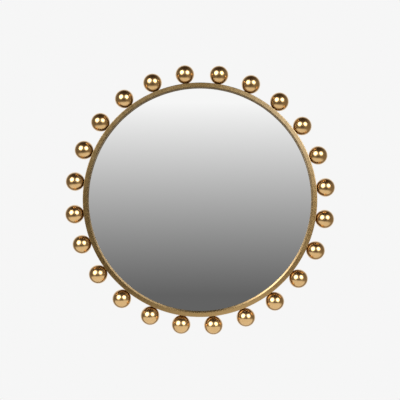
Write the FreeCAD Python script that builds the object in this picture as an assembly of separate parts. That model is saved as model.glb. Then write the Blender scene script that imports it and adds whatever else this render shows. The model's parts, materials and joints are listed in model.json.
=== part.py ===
import FreeCAD, Part
import math
import os

# Round wall mirror with a thin gold hoop and a circle of hollow metal balls.
# Millimetres. +Z is up, the mirror faces -Y, and the wall is the plane y = 0.
# The origin is the centre of the mirror's circle, on the wall plane.

V = FreeCAD.Vector

# ---- driving dimensions -------------------------------------------------
ball_d = 50.8            # hollow ball, outside
ball_wall = 1.2
ball_seat = 0.3          # depth of the small flat where a ball meets the hoop
# clock angle of each ball, clockwise from the top as seen from the front;
# the pitch is 15 degrees and the balls are set by eye, up to 1 degree off it
ball_clock = [8.7, 23.8, 39.0, 54.2, 69.4, 84.4, 98.8, 113.7, 128.7, 143.6,
              158.7, 173.9, 188.6, 203.3, 218.3, 233.8, 249.3, 263.4, 278.3,
              293.2, 307.9, 323.1, 337.9, 353.1]

hoop_r = 317.4           # hoop, outside radius
hoop_wall = 2.0
hoop_depth = 28.0
hoop_rear = 12.25        # gap from the wall to the hoop's rear edge
hoop_corner = 1.5        # rounded outer front corner
ridge_r = 305.8          # radius of the ridge between the face and the bevel
sight_r = 301.2          # radius of the mirror that shows
face_fall = 1.8          # how far the outer face falls back from the ridge
bevel_fall = 1.95        # how far the inner bevel falls back from the ridge
lip_edge = 1.3           # thickness of the lip's inner edge

tape_t = 1.0
tape_ri, tape_ro = 304.5, 310.0
glass_r, glass_t = 311.0, 4.0
board_r, board_t = 311.0, 12.0

screw_r = 1.95           # ball screws, M4
screw_hole_r = 2.25
tap_r = 2.0
bush_r, bush_len = 3.5, 10.0
bush_tap = 9.0
head_r, head_h = 4.0, 2.2

lug_count = 8
lug_w, lug_t, lug_leg, lug_foot_r = 16.0, 1.5, 6.5, 298.5
lug_screw_at = 304.5
wood_r = 1.75            # wood screws
wood_head_r, wood_head_h = 3.6, 2.0

hang_x, hang_z = 190.0, 130.0     # hinge line of the two D-rings
wire_r = 1.5
loop_gap = 0.06          # running clearance of the ring's bar in its loop
strap_t, strap_w, strap_len = 1.2, 13.0, 17.0
strap_screw_drop = 9.8
ring_half_w = 14.0       # from the ring's middle to its wire's centre line
ring_side = 14.0         # straight side, below the corner bend
ring_corner = 3.0

bump_h = 20.0
bump_r_base, bump_r_tip = 11.0, 9.0
bump_at_r = 280.0
bump_clock = [30.0, 150.0, 210.0, 330.0]
bump_bore_r, bump_bore_depth = 4.6, 12.0

# ---- derived places along y (everything lies at y <= 0) ------------------
y_hoop_rear = -hoop_rear
y_ridge = -(hoop_rear + hoop_depth)
y_sight = y_ridge + bevel_fall           # front of the lip's inner edge
y_lip = y_sight + lip_edge               # flat back of the lip
y_glass = y_lip + tape_t                 # front of the glass
y_board = y_glass + glass_t              # front of the board
y_back = y_board + board_t               # rear of the board
y_ball = (y_hoop_rear + y_ridge) / 2.0
ball_r = ball_d / 2.0
ball_at = hoop_r + ball_r - ball_seat    # radius of the circle of ball centres

os.makedirs("parts", exist_ok=True)


def save(shape, name):
    if isinstance(shape, (list, tuple)):
        shape = shape[0] if len(shape) == 1 else Part.makeCompound(list(shape))
    for s in shape.Solids:
        if not s.isValid() or s.Volume <= 0:
            raise ValueError("bad solid in " + name)
    shape.exportStep("parts/" + name + ".step")
    print("%-22s solids %2d  volume %.1f mm3" % (name, len(shape.Solids), shape.Volume))


def clock_dir(deg):
    a = math.radians(deg)
    return V(math.sin(a), 0, math.cos(a))


def turn(shape, deg):
    """turns a shape built at the top of the circle to a clock angle"""
    s = shape.copy()
    s.rotate(V(0, 0, 0), V(0, 1, 0), deg)
    return s


def cyl(r, h, base, axis):
    return Part.makeCylinder(r, h, base, axis)


def disc(r, y0, y1):
    return cyl(r, y1 - y0, V(0, y0, 0), V(0, 1, 0))


def revolve(points_face):
    return points_face.revolve(V(0, 0, 0), V(0, 1, 0), 360)


# ---- hoop: L-section ring, rolled and welded -----------------------------
def hoop_section():
    face_r = hoop_r - hoop_corner
    y_face = y_ridge + face_fall
    wall_in = hoop_r - hoop_wall
    p = [
        V(hoop_r, y_hoop_rear, 0),
        V(hoop_r, y_face + hoop_corner, 0),
        V(face_r, y_face, 0),
        V(ridge_r, y_ridge, 0),
        V(sight_r, y_sight, 0),
        V(sight_r, y_lip, 0),
        V(wall_in, y_lip, 0),
        V(wall_in, y_hoop_rear, 0),
    ]
    mid = V(face_r + hoop_corner * math.sin(math.pi / 4),
            y_face + hoop_corner - hoop_corner * math.cos(math.pi / 4), 0)
    edges = [
        Part.makeLine(p[0], p[1]),
        Part.Arc(p[1], mid, p[2]).toShape(),
        Part.makeLine(p[2], p[3]),
        Part.makeLine(p[3], p[4]),
        Part.makeLine(p[4], p[5]),
        Part.makeLine(p[5], p[6]),
        Part.makeLine(p[6], p[7]),
        Part.makeLine(p[7], p[0]),
    ]
    return Part.Face(Part.Wire(edges))


hoop = revolve(hoop_section())
holes = [turn(cyl(screw_hole_r, 8, V(0, y_ball, hoop_r - hoop_wall - 3), V(0, 0, 1)), a)
         for a in ball_clock]
hoop = hoop.cut(Part.makeCompound(holes))
save(hoop, "hoop_frame")

# ---- balls, with a tapped bush in each and a screw from inside the hoop ---
centre = V(0, y_ball, ball_at)
seat_z = hoop_r
ball = Part.makeSphere(ball_r, centre)
ball = ball.cut(Part.makeBox(60, 60, 20, V(-30, y_ball - 30, seat_z - 20)))
hollow = Part.makeSphere(ball_r - ball_wall, centre)
ball = ball.cut(hollow)
bush_hole = cyl(bush_r, 5, V(0, y_ball, seat_z - 2), V(0, 0, 1))
ball = ball.cut(bush_hole)
for i, a in enumerate(ball_clock):
    save(turn(ball, a), "ball_%02d" % (i + 1))

bush = cyl(bush_r, bush_len, V(0, y_ball, seat_z), V(0, 0, 1))
bush = bush.cut(cyl(tap_r, bush_tap, V(0, y_ball, seat_z), V(0, 0, 1)))
bush = bush.makeChamfer(0.5, [e for e in bush.Edges
                              if abs(e.BoundBox.ZMin - (seat_z + bush_len)) < 1e-6
                              and abs(e.BoundBox.ZMax - (seat_z + bush_len)) < 1e-6])
save([turn(bush, a) for a in ball_clock], "ball_bushes")


def pan_screw(r, length, hr, hh, slot=True):
    """a screw along +Z: underside of its head at z = 0, shank upwards, domed head below"""
    shank = cyl(r, length, V(0, 0, 0), V(0, 0, 1))
    tip = [e for e in shank.Edges if e.BoundBox.ZMin > length - 1e-6]
    shank = shank.makeChamfer(min(0.8, r * 0.6), tip)
    head = cyl(hr, hh, V(0, 0, -hh), V(0, 0, 1))
    rim = [e for e in head.Edges if e.BoundBox.ZMax < -hh + 1e-6]
    head = head.makeFillet(hh * 0.45, rim)
    s = head.fuse(shank)
    if slot:
        a = Part.makeBox(hr * 1.1, 0.9, hh * 0.55, V(-hr * 0.55, -0.45, -hh))
        b = Part.makeBox(0.9, hr * 1.1, hh * 0.55, V(-0.45, -hr * 0.55, -hh))
        s = s.cut(a.fuse(b))
    return s.removeSplitter()


head_z = hoop_r - hoop_wall - 0.05
m4 = pan_screw(screw_r, bush_tap + hoop_wall - 0.5, head_r, head_h)
m4.translate(V(0, y_ball, head_z))
save([turn(m4, a) for a in ball_clock], "ball_screws")

# ---- glass, tape and board ------------------------------------------------
tape = disc(tape_ro, y_lip, y_glass).cut(disc(tape_ri, y_lip - 1, y_glass + 1))
save(tape, "glazing_tape")

glass = disc(glass_r, y_glass, y_board)
front = [e for e in glass.Edges if e.BoundBox.YMax < y_glass + 1e-6]
rear = [e for e in glass.Edges if e.BoundBox.YMin > y_board - 1e-6]
glass = glass.makeChamfer(0.5, front + rear)
save(glass, "mirror_glass")

lug_clock = [8.0 + 45.0 * i + 8.0 for i in range(lug_count)]
wood_len = 8.0
bump_dirs = [clock_dir(a) for a in bump_clock]
pilot = wood_r + 0.03


def pilot_at(x, z, depth):
    return cyl(pilot, depth + 1.0, V(x, y_back + 1.0, z), V(0, -1, 0))


board = disc(board_r, y_board, y_back)
pilots = []
for a in lug_clock:
    d = clock_dir(a)
    pilots.append(pilot_at(d.x * lug_screw_at, d.z * lug_screw_at, wood_len))
for d in bump_dirs:
    pilots.append(pilot_at(d.x * bump_at_r, d.z * bump_at_r, wood_len + 1))
for sx in (-1, 1):
    pilots.append(pilot_at(sx * hang_x, hang_z - strap_screw_drop, wood_len + 1))
board = board.cut(Part.makeCompound(pilots))
board = board.makeChamfer(0.6, [e for e in board.Edges
                                if e.BoundBox.YMin > y_back - 1e-6 and e.BoundBox.XLength > 500])
save(board, "backing_board")

# ---- retaining lugs --------------------------------------------------------
wall_in = hoop_r - hoop_wall
ring_zone = disc(wall_in, y_back, y_back + lug_leg).cut(
    disc(lug_foot_r, y_back - 1, y_back + lug_leg + 1))
block = Part.makeBox(lug_w, lug_leg, 30, V(-lug_w / 2, y_back, lug_foot_r - 4))
lug = ring_zone.common(block)
hollowed = Part.makeBox(lug_w + 2, lug_leg, 60,
                        V(-lug_w / 2 - 1, y_back + lug_t, wall_in - lug_t - 60))
lug = lug.cut(hollowed)
lug = lug.cut(cyl(wood_r + 0.25, 10, V(0, y_back - 2, lug_screw_at), V(0, 1, 0)))
corner = [e for e in lug.Edges if abs(e.BoundBox.ZMin - e.BoundBox.ZMax) < 0.6
          and e.BoundBox.ZMax < lug_foot_r + 1 and e.BoundBox.YLength > lug_t - 0.1
          and e.BoundBox.XLength < 0.01]
if corner:
    lug = lug.makeFillet(2.5, corner)
save([turn(lug, a) for a in lug_clock], "retaining_lugs")


def wood_screw(length, under_y, x, z):
    """a wood screw that points into the board (-Y), head underside at under_y"""
    s = pan_screw(wood_r, length, wood_head_r, wood_head_h)
    s.rotate(V(0, 0, 0), V(1, 0, 0), 90)        # +Z becomes -Y
    s.translate(V(x, under_y, z))
    return s


save([wood_screw(wood_len + lug_t - 0.5, y_back + lug_t, clock_dir(a).x * lug_screw_at,
                 clock_dir(a).z * lug_screw_at) for a in lug_clock], "lug_screws")

# ---- hangers: folded strap, and a wire ring that swings in its loop --------
y_bar = y_back + strap_t + loop_gap + wire_r      # the ring's bar


def strap():
    """a strip folded over the bar, both layers screwed down; at x = 0, hinge line at z = 0"""
    ro = wire_r + loop_gap + strap_t
    ri = wire_r + loop_gap
    top = cyl(ro, strap_w, V(-strap_w / 2, y_bar, 0), V(1, 0, 0))
    under = Part.makeBox(strap_w, strap_t, strap_len, V(-strap_w / 2, y_back, -strap_len))
    # outer layer: straight down from the loop, then a slope to the inner layer
    y0, y1 = y_back + strap_t, y_back + 2 * strap_t
    outline = [V(-strap_w / 2, y_bar, 0), V(-strap_w / 2, y_bar + ro, 0),
               V(-strap_w / 2, y_bar + ro - 0.25, -1.6), V(-strap_w / 2, y1 + 0.25, -4.9),
               V(-strap_w / 2, y1, -5.9), V(-strap_w / 2, y1, -strap_len),
               V(-strap_w / 2, y_back, -strap_len), V(-strap_w / 2, y_back, 0)]
    body = Part.Face(Part.makePolygon(outline + [outline[0]])).extrude(V(strap_w, 0, 0))
    s = top.fuse(body).fuse(under)
    # the loop's round hole, and the wedge-shaped hollow between the layers below it
    s = s.cut(cyl(ri, strap_w + 4, V(-strap_w / 2 - 2, y_bar, 0), V(1, 0, 0)))
    w = [V(-strap_w, y_back + strap_t, 0), V(-strap_w, y_bar + ri * 0.92, -0.6),
         V(-strap_w, y0 + 0.15, -4.4), V(-strap_w, y0, -4.8)]
    s = s.cut(Part.Face(Part.makePolygon(w + [w[0]])).extrude(V(2 * strap_w, 0, 0)))
    # rounded lower end
    keep = Part.makeBox(strap_w, 20, strap_len, V(-strap_w / 2, y_back - 5, -strap_len + strap_w / 2))
    keep = keep.fuse(cyl(strap_w / 2, 20, V(0, y_back - 5, -strap_len + strap_w / 2), V(0, 1, 0)))
    s = s.common(keep.removeSplitter())
    s = s.cut(cyl(wood_r + 0.15, 12, V(0, y_back - 3, -strap_screw_drop), V(0, 1, 0)))
    return s.removeSplitter()


def d_ring():
    """round wire bent to a D: straight bar in the loop, two short sides and a half circle"""
    w, c, h = ring_half_w, ring_corner, ring_side
    k = c * (1 - math.sqrt(0.5))
    p = lambda x, z: V(x, y_bar, z)
    path = [
        Part.makeLine(p(-(w - c), 0), p(w - c, 0)),
        Part.Arc(p(w - c, 0), p(w - k, -k), p(w, -c)).toShape(),
        Part.makeLine(p(w, -c), p(w, -h)),
        Part.Arc(p(w, -h), p(0, -h - w), p(-w, -h)).toShape(),
        Part.makeLine(p(-w, -h), p(-w, -c)),
        Part.Arc(p(-w, -c), p(-(w - k), -k), p(-(w - c), 0)).toShape(),
    ]
    # built as one solid per run, then fused, so that every face is a plain cylinder or torus
    parts = []
    prof = lambda at, d: Part.Wire(Part.makeCircle(wire_r, at, d))
    for e in path:
        t = e.tangentAt(e.FirstParameter)
        at = e.valueAt(e.FirstParameter)
        if e.Curve.TypeId == "Part::GeomLine":
            parts.append(cyl(wire_r, e.Length, at, t))
        else:
            cc = e.Curve
            face = Part.Face(prof(at, t))
            ax = cc.Axis
            ang = math.degrees(e.Length / cc.Radius)
            s1 = face.revolve(cc.Center, ax, ang)
            end = e.valueAt(e.LastParameter)
            if not s1.BoundBox.isInside(end):
                s1 = face.revolve(cc.Center, ax * -1, ang)
            if s1.Volume < 0:
                s1.reverse()
            parts.append(s1)
    ring = parts[0].multiFuse(parts[1:])
    return ring.removeSplitter()


strap_shape = strap()
ring_shape = d_ring()
for name, sx in (("left", -1), ("right", 1)):
    # left and right as seen from the front
    s = strap_shape.copy()
    s.translate(V(sx * hang_x, 0, hang_z))
    save(s, "hanger_strap_" + name)
    r = ring_shape.copy()
    r.translate(V(sx * hang_x, 0, hang_z))
    save(r, "d_ring_" + name)
save([wood_screw(wood_len + 2 * strap_t, y_back + 2 * strap_t, sx * hang_x,
                 hang_z - strap_screw_drop) for sx in (-1, 1)], "hanger_screws")

# ---- wall bumpers -----------------------------------------------------------
bumpers, bump_screws = [], []
for d in bump_dirs:
    base = V(d.x * bump_at_r, y_back, d.z * bump_at_r)
    b = Part.makeCone(bump_r_base, bump_r_tip, bump_h, base, V(0, 1, 0))
    b = b.makeFillet(1.2, [e for e in b.Edges if e.BoundBox.YMin > -1e-6 and e.BoundBox.XLength > 1])
    b = b.cut(cyl(bump_bore_r, bump_bore_depth + 1, base + V(0, bump_h - bump_bore_depth, 0), V(0, 1, 0)))
    b = b.cut(cyl(wood_r + 0.25, bump_h, base + V(0, -2, 0), V(0, 1, 0)))
    bumpers.append(b)
    bump_screws.append(wood_screw(bump_h - bump_bore_depth + wood_len,
                                  y_back + bump_h - bump_bore_depth, base.x, base.z))
save(bumpers, "wall_bumpers")
save(bump_screws, "bumper_screws")

print("board rear y", y_back, "bar y", y_bar, "ridge y", y_ridge, "ball centre y", y_ball)
print("overall across balls", 2 * (ball_at + ball_r), "ball circle radius", ball_at)
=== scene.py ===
import json
import math
import random
import bpy
import bmesh
from mathutils import Vector, Matrix, noise


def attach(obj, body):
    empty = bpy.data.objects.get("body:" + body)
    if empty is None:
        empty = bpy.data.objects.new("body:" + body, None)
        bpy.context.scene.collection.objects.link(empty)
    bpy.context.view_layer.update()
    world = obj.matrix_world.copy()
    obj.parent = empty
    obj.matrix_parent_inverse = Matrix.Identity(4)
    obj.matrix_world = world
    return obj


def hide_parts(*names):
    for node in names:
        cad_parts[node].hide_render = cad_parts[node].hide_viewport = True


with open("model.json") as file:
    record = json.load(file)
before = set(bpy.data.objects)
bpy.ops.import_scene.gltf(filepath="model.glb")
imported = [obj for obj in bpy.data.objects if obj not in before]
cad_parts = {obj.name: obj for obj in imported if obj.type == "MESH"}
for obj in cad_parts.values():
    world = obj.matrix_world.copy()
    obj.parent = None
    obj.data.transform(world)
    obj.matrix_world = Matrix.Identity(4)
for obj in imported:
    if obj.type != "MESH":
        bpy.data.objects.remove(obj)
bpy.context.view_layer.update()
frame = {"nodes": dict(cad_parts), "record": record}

N = frame["nodes"]
rnd = random.Random(7)

# ---- places and sizes, in metres, as in the CAD model ----------------------
HOOP_R = 0.3174          # hoop, outside
HOOP_WALL = 0.002
Y_REAR = -0.01225        # hoop's rear edge
Y_RIDGE = -0.04025       # foremost line of the hoop
RIDGE_R = 0.3058
SIGHT_R = 0.3012
Y_LIP = -0.0370          # flat back of the lip
Y_GLASS = -0.0360
Y_BOARD = -0.0320
Y_BACK = -0.0200
Y_BALL = -0.02625
BALL_R = 0.0254
BALL_AT = 0.3425
BALL_CLOCK = [8.7, 23.8, 39.0, 54.2, 69.4, 84.4, 98.8, 113.7, 128.7, 143.6,
              158.7, 173.9, 188.6, 203.3, 218.3, 233.8, 249.3, 263.4, 278.3,
              293.2, 307.9, 323.1, 337.9, 353.1]
BACKDROP = 0.922         # the photograph's pale surround, as light


# ---- small node-building helpers -------------------------------------------
class Mat:
    """a material and short ways to add and join its nodes"""

    def __init__(self, name):
        self.m = bpy.data.materials.new(name)
        self.m.use_nodes = True
        self.t = self.m.node_tree
        self.t.nodes.clear()
        self.out = self.t.nodes.new("ShaderNodeOutputMaterial")
        self.b = self.t.nodes.new("ShaderNodeBsdfPrincipled")
        self.t.links.new(self.b.outputs[0], self.out.inputs[0])
        self.co = self.t.nodes.new("ShaderNodeTexCoord").outputs["Object"]

    def node(self, kind, **values):
        n = self.t.nodes.new(kind)
        for k, v in values.items():
            setattr(n, k, v)
        return n

    def link(self, a, b):
        self.t.links.new(a, b)

    def set(self, **values):
        for k, v in values.items():
            self.b.inputs[k.replace("_", " ")].default_value = v

    def noise(self, scale, detail=3.0, rough=0.55, co=None, dist=0.0):
        n = self.node("ShaderNodeTexNoise")
        n.inputs["Scale"].default_value = scale
        n.inputs["Detail"].default_value = detail
        n.inputs["Roughness"].default_value = rough
        n.inputs["Distortion"].default_value = dist
        self.link(co or self.co, n.inputs["Vector"])
        return n.outputs["Fac"]

    def ramp(self, fac, stops, kind="LINEAR"):
        n = self.node("ShaderNodeValToRGB")
        n.color_ramp.interpolation = kind
        e = n.color_ramp.elements
        while len(e) > 1:
            e.remove(e[-1])
        e[0].position, e[0].color = stops[0][0], rgba(stops[0][1])
        for p, c in stops[1:]:
            x = e.new(p)
            x.color = rgba(c)
        self.link(fac, n.inputs["Fac"])
        return n.outputs["Color"]

    def math(self, op, a, b=None, clamp=False):
        n = self.node("ShaderNodeMath", operation=op, use_clamp=clamp)
        for i, v in enumerate((a, b)):
            if v is None:
                continue
            if isinstance(v, (int, float)):
                n.inputs[i].default_value = v
            else:
                self.link(v, n.inputs[i])
        return n.outputs[0]

    def mix(self, fac, a, b, kind="MIX"):
        n = self.node("ShaderNodeMix", data_type="RGBA", blend_type=kind)
        for s, v in ((0, fac), (6, a), (7, b)):
            if isinstance(v, (int, float)):
                n.inputs[s].default_value = v if s == 0 else rgba(v)
            elif isinstance(v, (tuple, list)):
                n.inputs[s].default_value = rgba(v)
            else:
                self.link(v, n.inputs[s])
        return n.outputs[2]

    def bump(self, height, strength, distance, normal=None):
        n = self.node("ShaderNodeBump")
        n.inputs["Strength"].default_value = strength
        n.inputs["Distance"].default_value = distance
        self.link(height, n.inputs["Height"])
        if normal is not None:
            self.link(normal, n.inputs["Normal"])
        return n.outputs["Normal"]


def rgba(c):
    if isinstance(c, (int, float)):
        c = (c, c, c)
    return (*c[:3], 1.0)


# ---- finishes ---------------------------------------------------------------
def gold_ball():
    g = Mat("gold_ball")
    g.set(Metallic=1.0, Coat_Weight=0.7, Coat_Roughness=0.30, Coat_IOR=1.6)
    cloud = g.noise(34.0, 4.0, 0.6)
    tone = g.ramp(cloud, [(0.25, (0.665, 0.410, 0.160)), (0.5, (0.705, 0.448, 0.185)), (0.75, (0.735, 0.475, 0.205))])
    g.link(tone, g.b.inputs["Base Color"])
    r = g.ramp(g.noise(55.0, 3.0, 0.6), [(0.3, 0.145), (0.7, 0.185)])
    g.link(r, g.b.inputs["Roughness"])
    wave = g.noise(45.0, 2.0, 0.5)
    g.link(g.bump(wave, 0.25, 0.0004), g.b.inputs["Normal"])
    return g.m


def gold_hoop():
    g = Mat("gold_hoop")
    g.set(Metallic=1.0)
    sep = g.node("ShaderNodeSeparateXYZ")
    g.link(g.co, sep.inputs[0])
    x, y, z = sep.outputs
    rad = g.math("SQRT", g.math("ADD", g.math("MULTIPLY", x, x), g.math("MULTIPLY", z, z)))
    blotch = g.noise(230.0, 4.0, 0.6)
    tone = g.ramp(blotch, [(0.30, (0.500, 0.326, 0.133)), (0.50, (0.537, 0.355, 0.154)), (0.72, (0.570, 0.386, 0.174))])
    # slow changes of hue, as where leaf or lacquer lies thicker
    hue = g.noise(28.0, 3.0, 0.55)
    tone = g.mix(g.ramp(hue, [(0.38, 0.0), (0.62, 0.5)]), tone, (0.53, 0.350, 0.150))
    # the outer wall, behind the balls, is duller and browner
    wall = g.math("GREATER_THAN", rad, 0.31728)
    tone = g.mix(g.math("MULTIPLY", wall, 0.7), tone, (0.30, 0.175, 0.070))
    # where on the circle: across runs -1..1 left to right, up runs -1..1 bottom to top
    across, up = g.math("DIVIDE", x, rad), g.math("DIVIDE", z, rad)
    # painted highlight: the two upper shoulders are made paler, standing in for the glare of the lights there
    pale = g.math("MULTIPLY", g.math("MULTIPLY", g.math("ABSOLUTE", across), up), 1.7, clamp=True)
    tone = g.mix(pale, tone, (0.565, 0.432, 0.260))
    # painted shade: darker brown towards the left and above, where the hoop looks less lit
    painted_side_shade = g.math("ADD", 0.44, g.math("ADD", g.math("MULTIPLY", across, -0.34), g.math("MULTIPLY", up, 0.22)), clamp=True)
    painted_side_shade = g.math("MULTIPLY", painted_side_shade, g.ramp(g.noise(95.0, 4.0, 0.6), [(0.3, 0.85), (0.7, 1.12)]))
    tone = g.mix(painted_side_shade, tone, (0.165, 0.105, 0.036))
    # painted shade: dark brown in the recess beside the glass, and a dark line where it meets the glass
    bevel = g.node("ShaderNodeMapRange", interpolation_type="SMOOTHSTEP")
    g.link(rad, bevel.inputs[0])
    for i, v in ((1, 0.3047), (2, 0.3055), (3, 1.0), (4, 0.0)):
        bevel.inputs[i].default_value = v
    edge = g.node("ShaderNodeMapRange", interpolation_type="SMOOTHSTEP")
    g.link(rad, edge.inputs[0])
    for i, v in ((1, 0.3014), (2, 0.3022), (3, 1.0), (4, 0.0)):
        edge.inputs[i].default_value = v
    # the painted shade is strongest at the quarter points and most of all at the bottom, and weaker between them
    quarter = g.math("COSINE", g.math("MULTIPLY", g.math("ARCTAN2", x, z), 4.0))
    recess_shade_amount = g.math("ADD", 0.14, g.math("SUBTRACT", g.math("MULTIPLY", quarter, 0.3), g.math("MULTIPLY", up, 0.5)), clamp=True)
    # painted highlight: the bevel is made paler, a little everywhere and most of all towards the top
    painted_bevel_highlight = g.math("ADD", 0.2, g.math("MULTIPLY", g.math("MAXIMUM", up, 0.0), 0.7))
    front = g.math("LESS_THAN", y, -0.0365)
    painted_recess_shade = g.math("MULTIPLY", g.math("MAXIMUM", g.math("MULTIPLY", bevel.outputs[0], recess_shade_amount),
                                    g.math("MULTIPLY", edge.outputs[0], 0.75)), front)
    tone = g.mix(g.math("MULTIPLY", g.math("MULTIPLY", bevel.outputs[0], painted_bevel_highlight), front), tone, (0.62, 0.52, 0.385))
    tone = g.mix(painted_recess_shade, tone, (0.17, 0.115, 0.050))
    g.link(tone, g.b.inputs["Base Color"])
    r = g.ramp(g.noise(160.0, 4.0, 0.6), [(0.3, 0.25), (0.7, 0.32)])
    r = g.math("ADD", g.math("MULTIPLY", wall, 0.12), r)
    g.link(r, g.b.inputs["Roughness"])
    hammer = g.noise(150.0, 3.0, 0.55)
    grain = g.noise(620.0, 2.0, 0.6)
    h = g.math("ADD", hammer, g.math("MULTIPLY", grain, 0.10))
    g.link(g.bump(h, 0.055, 0.0006), g.b.inputs["Normal"])
    return g.m


def silver_mirror():
    g = Mat("silvered_glass")
    g.set(Metallic=1.0, Roughness=0.004)
    # the silvering shows at the front; the rim and the back are grey sealing paint
    sep = g.node("ShaderNodeSeparateXYZ")
    g.link(g.co, sep.inputs[0])
    back = g.math("GREATER_THAN", sep.outputs["Y"], Y_GLASS + 0.0006)
    g.link(g.mix(back, (0.965, 0.967, 0.965), (0.20, 0.21, 0.21)), g.b.inputs["Base Color"])
    g.link(g.math("SUBTRACT", 1.0, back), g.b.inputs["Metallic"])
    g.link(g.math("MULTIPLY", back, 0.55), g.b.inputs["Roughness"])
    return g.m


def fibreboard():
    g = Mat("fibreboard")
    g.set(Roughness=0.82)
    s = g.noise(420.0, 6.0, 0.75)
    big = g.noise(9.0, 4.0, 0.6)
    tone = g.ramp(s, [(0.30, (0.20, 0.125, 0.070)), (0.5, (0.36, 0.245, 0.145)), (0.72, (0.50, 0.365, 0.235))])
    tone = g.mix(g.math("MULTIPLY", big, 0.35), tone, (0.30, 0.20, 0.12))
    g.link(tone, g.b.inputs["Base Color"])
    g.link(g.bump(s, 0.4, 0.0004), g.b.inputs["Normal"])
    return g.m


def zinc():
    g = Mat("zinc_steel")
    g.set(Metallic=1.0)
    s = g.noise(260.0, 4.0, 0.65)
    g.link(g.ramp(s, [(0.3, (0.52, 0.54, 0.57)), (0.7, (0.76, 0.77, 0.78))]), g.b.inputs["Base Color"])
    g.link(g.ramp(g.noise(500.0, 3.0), [(0.3, 0.22), (0.7, 0.36)]), g.b.inputs["Roughness"])
    g.link(g.bump(s, 0.15, 0.0002), g.b.inputs["Normal"])
    return g.m


def plain_steel():
    g = Mat("plain_steel")
    g.set(Metallic=1.0)
    s = g.noise(700.0, 4.0, 0.7)
    g.link(g.ramp(s, [(0.3, (0.30, 0.29, 0.28)), (0.7, (0.48, 0.47, 0.46))]), g.b.inputs["Base Color"])
    g.link(g.ramp(s, [(0.3, 0.35), (0.7, 0.5)]), g.b.inputs["Roughness"])
    return g.m


def rubber():
    g = Mat("black_rubber")
    s = g.noise(1400.0, 3.0, 0.6)
    g.link(g.ramp(s, [(0.3, (0.022, 0.022, 0.024)), (0.7, (0.045, 0.044, 0.043))]), g.b.inputs["Base Color"])
    g.link(g.ramp(g.noise(300.0), [(0.3, 0.55), (0.7, 0.72)]), g.b.inputs["Roughness"])
    g.link(g.bump(s, 0.3, 0.0002), g.b.inputs["Normal"])
    return g.m


def foam():
    g = Mat("foam_tape")
    s = g.noise(2600.0, 2.0, 0.7)
    g.link(g.ramp(s, [(0.3, (0.02, 0.02, 0.02)), (0.7, (0.06, 0.06, 0.06))]), g.b.inputs["Base Color"])
    g.set(Roughness=0.9)
    g.link(g.bump(s, 0.5, 0.0003), g.b.inputs["Normal"])
    return g.m


M_BALL, M_HOOP, M_GLASS, M_BOARD = gold_ball(), gold_hoop(), silver_mirror(), fibreboard()
M_ZINC, M_STEEL, M_RUBBER, M_FOAM = zinc(), plain_steel(), rubber(), foam()
FINISH = {"gold_ball": M_BALL, "gold_hoop": M_HOOP, "silvered_glass": M_GLASS, "fibreboard": M_BOARD,
          "zinc_steel": M_ZINC, "plain_steel": M_STEEL, "black_rubber": M_RUBBER, "foam_tape": M_FOAM}
SLOT = {s["node"]: s["material_slot"] for s in frame["record"]["subparts"]}
for name, obj in N.items():
    mat = FINISH[SLOT[name]]
    if not obj.material_slots:
        obj.data.materials.append(mat)
    for s in obj.material_slots:
        s.material = mat

# ---- the hoop: rolled from strip by hand, so its face leans a little more in some places ----
LEAN = [10.0, 6.5, 5.5, 4.0, 6.0, 9.9, 8.7, 5.6, 4.5, 4.0, 4.5, 5.5]   # degrees, every 30 clockwise from the top

INWARD = [13.0, 14.0, 15.0, 8.5, 12.0, 22.5, 24.0, 13.5, 11.0, 7.5, 11.0, 11.0]  # the bevel towards the glass, likewise


def periodic(values, deg):
    """smooth curve through evenly spaced values round the circle"""
    n = len(values)
    f = (deg % 360.0) / 360.0 * n
    i = int(f)
    t = f - i
    p = [values[(i + k) % n] for k in (-1, 0, 1, 2)]
    return 0.5 * (2 * p[1] + (p[2] - p[0]) * t + (2 * p[0] - 5 * p[1] + 4 * p[2] - p[3]) * t * t
                  + (3 * p[1] - p[0] - 3 * p[2] + p[3]) * t * t * t)


def rounded(points, radii, steps=5):
    """closed section with each corner rounded, and the runs between split so that shading stays crisp"""
    n = len(points)
    cut = []
    for i in range(n):
        p0, p1, p2 = (Vector(points[(i + k) % n]) for k in (-1, 0, 1))
        a, b = (p0 - p1), (p2 - p1)
        r = min(radii[i], a.length * 0.45, b.length * 0.45)
        cut.append((p1 + a.normalized() * r, p1, p1 + b.normalized() * r))
    out = []
    for i in range(n):
        a, c, b = cut[i]
        for k in range(steps + 1):
            t = k / steps
            out.append(a * (1 - t) ** 2 + c * (2 * t * (1 - t)) + b * t * t)
        nxt = cut[(i + 1) % n][0]
        run = nxt - b
        for t in (0.04, 0.35, 0.65, 0.96):
            out.append(b + run * t)
    return out


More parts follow.
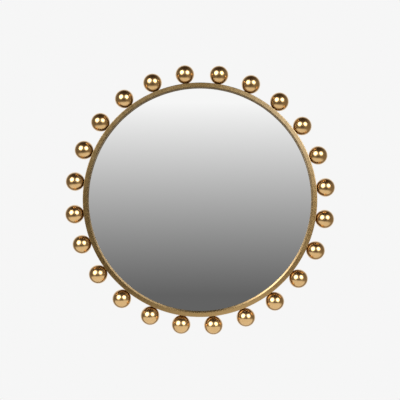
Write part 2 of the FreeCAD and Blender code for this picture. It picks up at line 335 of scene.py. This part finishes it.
def make_hoop():
    steps = 1440
    inner = HOOP_R - HOOP_WALL
    rings = []
    for k in range(steps):
        c = 360.0 * k / steps
        lean = math.radians(periodic(LEAN, c))
        inward = math.radians(periodic(INWARD, c))
        wob = Vector((math.sin(math.radians(c)), 0.0, math.cos(math.radians(c)))) * 0.3
        ridge = RIDGE_R + 0.00022 * noise.noise(wob * 60.0)
        sight = SIGHT_R + 0.00018 * noise.noise(wob * 45.0 + Vector((9, 0, 0)))
        y_out = Y_RIDGE + (HOOP_R - ridge) * math.tan(lean)
        y_in = Y_RIDGE + (ridge - sight) * math.tan(inward)
        y_in = min(y_in, Y_LIP - 0.0006)
        section = [(HOOP_R, Y_REAR), (HOOP_R, y_out), (ridge, Y_RIDGE), (sight, y_in),
                   (sight, Y_LIP), (inner, Y_LIP), (inner, Y_REAR)]
        radii = [0.0005, 0.0013, 0.0009, 0.00035, 0.0003, 0.0004, 0.0004]
        rings.append((c, rounded(section, radii)))
    bm = bmesh.new()
    loops = []
    for c, pts in rings:
        s_, c_ = math.sin(math.radians(c)), math.cos(math.radians(c))
        row = []
        for r, y in pts:
            # shallow hand-planished waves on the face and the outer wall
            v = Vector((r * s_, y, r * c_))
            if y < Y_LIP - 0.0004 and r < HOOP_R - 0.0004:
                v.y += 0.000045 * (noise.noise(v * 150.0) + 0.5 * noise.noise(v * 330.0)) + 0.00003
            row.append(bm.verts.new(v))
        loops.append(row)
    n = len(loops[0])
    for k in range(steps):
        a, b = loops[k], loops[(k + 1) % steps]
        for j in range(n):
            bm.faces.new((a[j], a[(j + 1) % n], b[(j + 1) % n], b[j]))
    bmesh.ops.recalc_face_normals(bm, faces=bm.faces)
    for f in bm.faces:
        f.smooth = True
    me = bpy.data.meshes.new("hoop")
    bm.to_mesh(me)
    bm.free()
    ob = bpy.data.objects.new("hoop", me)
    bpy.context.scene.collection.objects.link(ob)
    me.materials.append(M_HOOP)
    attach(ob, "mirror")
    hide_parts("hoop_frame")
    return ob


make_hoop()

# ---- studio: surround, floor, camera ----------------------------------------
world = bpy.data.worlds.new("studio")
bpy.context.scene.world = world
world.use_nodes = True
wt = world.node_tree
wt.nodes.clear()


class W(Mat):
    def __init__(self, tree):
        self.t = tree


w = W(wt)
out = wt.nodes.new("ShaderNodeOutputWorld")
gen = wt.nodes.new("ShaderNodeTexCoord").outputs["Generated"]
nrm = w.node("ShaderNodeVectorMath", operation="NORMALIZE")
wt.links.new(gen, nrm.inputs[0])
D = nrm.outputs[0]
sep = w.node("ShaderNodeSeparateXYZ")
wt.links.new(D, sep.inputs[0])
dx, dy, dz = sep.outputs


def direction(az, el):
    """az from the camera's side, positive to the right as the camera sees it; el up"""
    a, e = math.radians(az), math.radians(el)
    return (math.sin(a) * math.cos(e), -math.cos(a) * math.cos(e), math.sin(e))


def lobe(az, el, radius, soft):
    """1 inside a round soft light of that angular radius, falling to 0 over soft degrees"""
    dot = w.node("ShaderNodeVectorMath", operation="DOT_PRODUCT")
    wt.links.new(D, dot.inputs[0])
    dot.inputs[1].default_value = direction(az, el)
    ang = w.math("ARCCOSINE", w.math("MINIMUM", dot.outputs["Value"], 0.999999))
    m = w.node("ShaderNodeMapRange", interpolation_type="SMOOTHSTEP")
    wt.links.new(ang, m.inputs[0])
    m.inputs[1].default_value = math.radians(radius - soft / 2)
    m.inputs[2].default_value = math.radians(radius + soft / 2)
    m.inputs[3].default_value = 1.0
    m.inputs[4].default_value = 0.0
    return m.outputs[0]


def at(el):
    return 0.5 + 0.5 * math.sin(math.radians(el))


height = w.math("ADD", w.math("MULTIPLY", dz, 0.5), 0.5)
room = w.ramp(height, [
    (0.0, (0.34, 0.29, 0.22)), (at(-14), (0.29, 0.245, 0.180)), (at(0), (0.26, 0.222, 0.165)),
    (at(14), (0.25, 0.215, 0.160)), (at(34), (0.20, 0.170, 0.125)), (at(48), (0.13, 0.105, 0.072)),
    (at(62), (0.080, 0.054, 0.028)), (1.0, (0.050, 0.032, 0.014))])
# the right side of the room is a little lighter than the left, and the dim end behind the camera darkest
side = w.math("ADD", w.math("MULTIPLY", dx, 0.30), 1.0)
front = w.math("SUBTRACT", 1.12, w.math("MULTIPLY", w.math("MAXIMUM", w.math("MULTIPLY", dy, -1.0), 0.0), 0.62))
room = w.mix(1.0, room, w.mix(w.math("MULTIPLY", side, front), 0.0, 1.0), "MULTIPLY")
total = room


def add_light(total, mask, colour):
    return w.mix(mask, total, colour)


total = add_light(total, lobe(-1, 20, 20, 28), (0.28, 0.27, 0.24))
total = add_light(total, lobe(0, -4, 11, 12), (0.10, 0.072, 0.034))
total = add_light(total, lobe(-39.5, -1, 11, 18), (0.60, 0.58, 0.50))
total = add_light(total, lobe(35, -2, 11, 18), (0.55, 0.53, 0.46))
total = w.mix(lobe(-39.0, 22.3, 20.0, 21), total, 6.0)
total = w.mix(lobe(35.0, 21.0, 17.4, 19.5), total, 5.8)
# a pale wall far behind the mirror
total = add_light(total, lobe(180, 6, 46, 40), (1.0, 1.0, 0.99))

# the pale card behind the camera that the flat glass mirrors: white above, falling to grey below
slope = w.math("DIVIDE", dz, w.math("MAXIMUM", w.math("MULTIPLY", dy, -1.0), 0.05))
CAM_DIST = 3.30
GLASS_DIST = CAM_DIST + Y_GLASS
top_z, bot_z = 0.2640, -0.2570      # heights on the glass where the fall begins and ends
t = w.math("DIVIDE", w.math("SUBTRACT", top_z / GLASS_DIST, slope), (top_z - bot_z) / GLASS_DIST, clamp=True)
code = w.ramp(t, [(0.0, 0.965), (1.0, 0.385)])
light = w.math("POWER", w.math("DIVIDE", w.math("ADD", code, 0.055), 1.055), 2.4)
light = w.math("DIVIDE", light, 0.966)
card = w.node("ShaderNodeCombineXYZ")
for i in range(3):
    wt.links.new(light, card.inputs[i])
total = add_light(total, lobe(0, 0, 6.0, 0.7), card.outputs[0])

bg = w.node("ShaderNodeBackground")
wt.links.new(total, bg.inputs[0])
plain = w.node("ShaderNodeBackground")
plain.inputs[0].default_value = rgba(BACKDROP)
lp = w.node("ShaderNodeLightPath")
mixs = w.node("ShaderNodeMixShader")
wt.links.new(lp.outputs["Is Camera Ray"], mixs.inputs[0])
wt.links.new(bg.outputs[0], mixs.inputs[1])
wt.links.new(plain.outputs[0], mixs.inputs[2])
wt.links.new(mixs.outputs[0], out.inputs[0])

# pale floor under the mirror; it fades out towards its edges and can't be seen from below
bm = bmesh.new()
for x, y in ((-1.9, -1.6), (1.7, -1.6), (1.7, 0.06), (-1.9, 0.06)):
    bm.verts.new((x, y, -0.57))
bm.faces.new(bm.verts)
me = bpy.data.meshes.new("floor")
bm.to_mesh(me)
bm.free()
floor = bpy.data.objects.new("floor", me)
bpy.context.scene.collection.objects.link(floor)
fm = bpy.data.materials.new("pale_floor")
fm.use_nodes = True
ft = fm.node_tree
ft.nodes.clear()
f = W(ft)
fo = ft.nodes.new("ShaderNodeOutputMaterial")
fe = ft.nodes.new("ShaderNodeEmission")
fe.inputs[0].default_value = (0.940, 0.938, 0.930, 1.0)
fs = f.node("ShaderNodeSeparateXYZ")
f.link(ft.nodes.new("ShaderNodeTexCoord").outputs["Object"], fs.inputs[0])


def fade(value, gone, full):
    m = f.node("ShaderNodeMapRange", interpolation_type="SMOOTHSTEP")
    f.link(value, m.inputs[0])
    for i, v in ((1, gone), (2, full), (3, 0.0), (4, 1.0)):
        m.inputs[i].default_value = v
    return m.outputs[0]


reach = f.math("SQRT", f.math("ADD", f.math("MULTIPLY", fs.outputs["X"], fs.outputs["X"]),
                              f.math("MULTIPLY", fs.outputs["Y"], fs.outputs["Y"])))
cover = f.math("MULTIPLY", fade(fs.outputs["Y"], -1.42, -0.55),
               f.math("MULTIPLY", fade(reach, 1.80, 0.75), fade(fs.outputs["X"], 1.65, 0.55)))
cover = f.math("MULTIPLY", cover, f.math("SUBTRACT", 1.0, ft.nodes.new("ShaderNodeNewGeometry").outputs["Backfacing"]))
fc = ft.nodes.new("ShaderNodeBsdfTransparent")
fx = ft.nodes.new("ShaderNodeMixShader")
f.link(cover, fx.inputs[0])
f.link(fc.outputs[0], fx.inputs[1])
f.link(fe.outputs[0], fx.inputs[2])
f.link(fx.outputs[0], fo.inputs[0])
floor.data.materials.append(fm)

cam_data = bpy.data.cameras.new("camera")
cam = bpy.data.objects.new("camera", cam_data)
bpy.context.scene.collection.objects.link(cam)
bpy.context.scene.camera = cam
cam_data.sensor_width = 36.0
PX = 0.3421 / 125.98          # metres per pixel at the balls
half = 200.0 * PX
cam_data.lens = 18.0 / (half / (CAM_DIST + Y_BALL))
cam.location = (0.0, -CAM_DIST, -0.25 * PX)
cam.rotation_euler = (math.radians(90), 0, 0)
cam_data.clip_end = 100.0

sc = bpy.context.scene
sc.view_settings.view_transform = "Standard"
sc.view_settings.look = "None"
